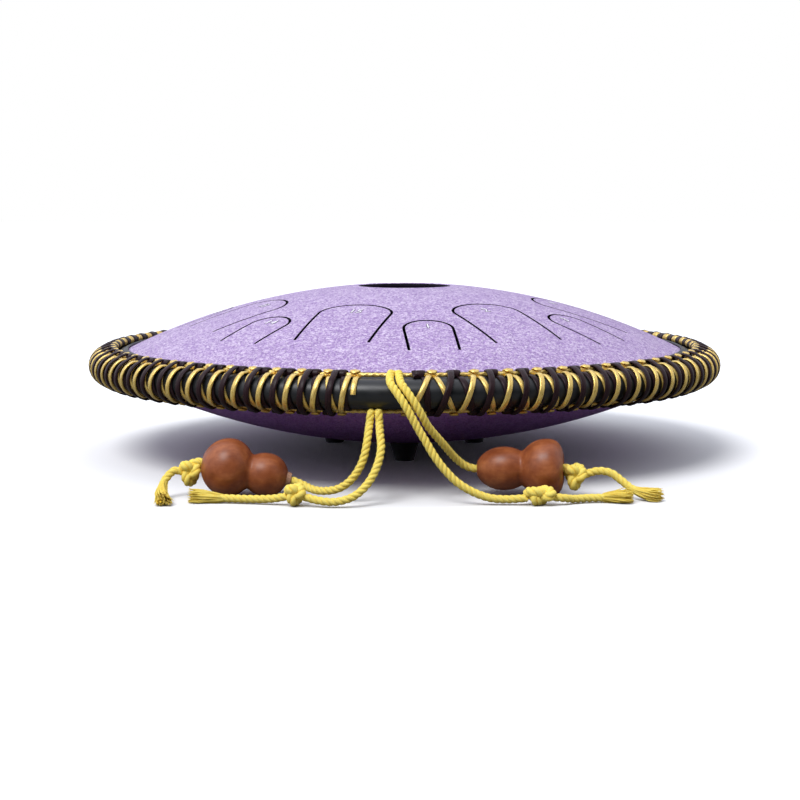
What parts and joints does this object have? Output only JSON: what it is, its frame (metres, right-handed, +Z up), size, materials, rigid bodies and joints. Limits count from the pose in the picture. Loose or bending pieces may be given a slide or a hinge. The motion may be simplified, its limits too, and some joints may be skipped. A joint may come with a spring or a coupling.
{
  "type": "steel tongue drum",
  "caption": "Saucer-shaped steel tongue drum with a sound hole, slotted tongues, a laced rubber rim, short feet and gourd beads on cotton ropes.",
  "frame": {"origin": "centre of the drum on the floor plane, under the middle of the sound hole", "axes": "+Z up through the sound hole, -Y towards the front where the ropes hang, +X to the right seen from the front"},
  "size_m": [0.355, 0.3752, 0.0927],
  "materials": {
    "paint": "textured satin lavender paint on steel",
    "adhesive": "cured sealant",
    "rubber": "satin black",
    "gold_cord": "waxed gold cord",
    "brown_lace": "waxed dark brown lace",
    "foot_rubber": "matt black",
    "gourd": "polished reddish brown",
    "rope": "twisted yellow cotton"
  },
  "bodies": {
    "drum": {"top_shell": "paint", "bottom_shell": "paint", "flange_bond": "adhesive", "rim_edging": "rubber", "upper_lacing_line": "gold_cord", "lower_lacing_line": "gold_cord", "gold_lace": "gold_cord", "brown_lace": "brown_lace", "front_foot": "foot_rubber", "right_foot": "foot_rubber", "left_foot": "foot_rubber", "left_rope_hitch": "rope", "left_gourd_strand": "rope", "left_free_strand": "rope", "left_gourd_knot": "rope", "left_free_knot": "rope", "left_gourd_tail": "rope", "left_free_tail": "rope", "right_rope_hitch": "rope", "right_gourd_strand": "rope", "right_free_strand": "rope", "right_gourd_knot": "rope", "right_free_knot": "rope", "right_gourd_tail": "rope", "right_free_tail": "rope"},
    "left_gourd_bead": {"left_gourd": "gourd"},
    "right_gourd_bead": {"right_gourd": "gourd"}
  },
  "joints": [
    {"name": "left_gourd_turn", "type": "hinge", "parent": "drum", "child": "left_gourd_bead", "pos_m": [-0.0665, -0.164, 0.0105], "axis": [-0.9809, 0, 0.1946], "continuous": true},
    {"name": "right_gourd_turn", "type": "hinge", "parent": "drum", "child": "right_gourd_bead", "pos_m": [0.048, -0.163, 0.0135], "axis": [0.9898, -0.1391, 0.0297], "continuous": true}
  ]
}
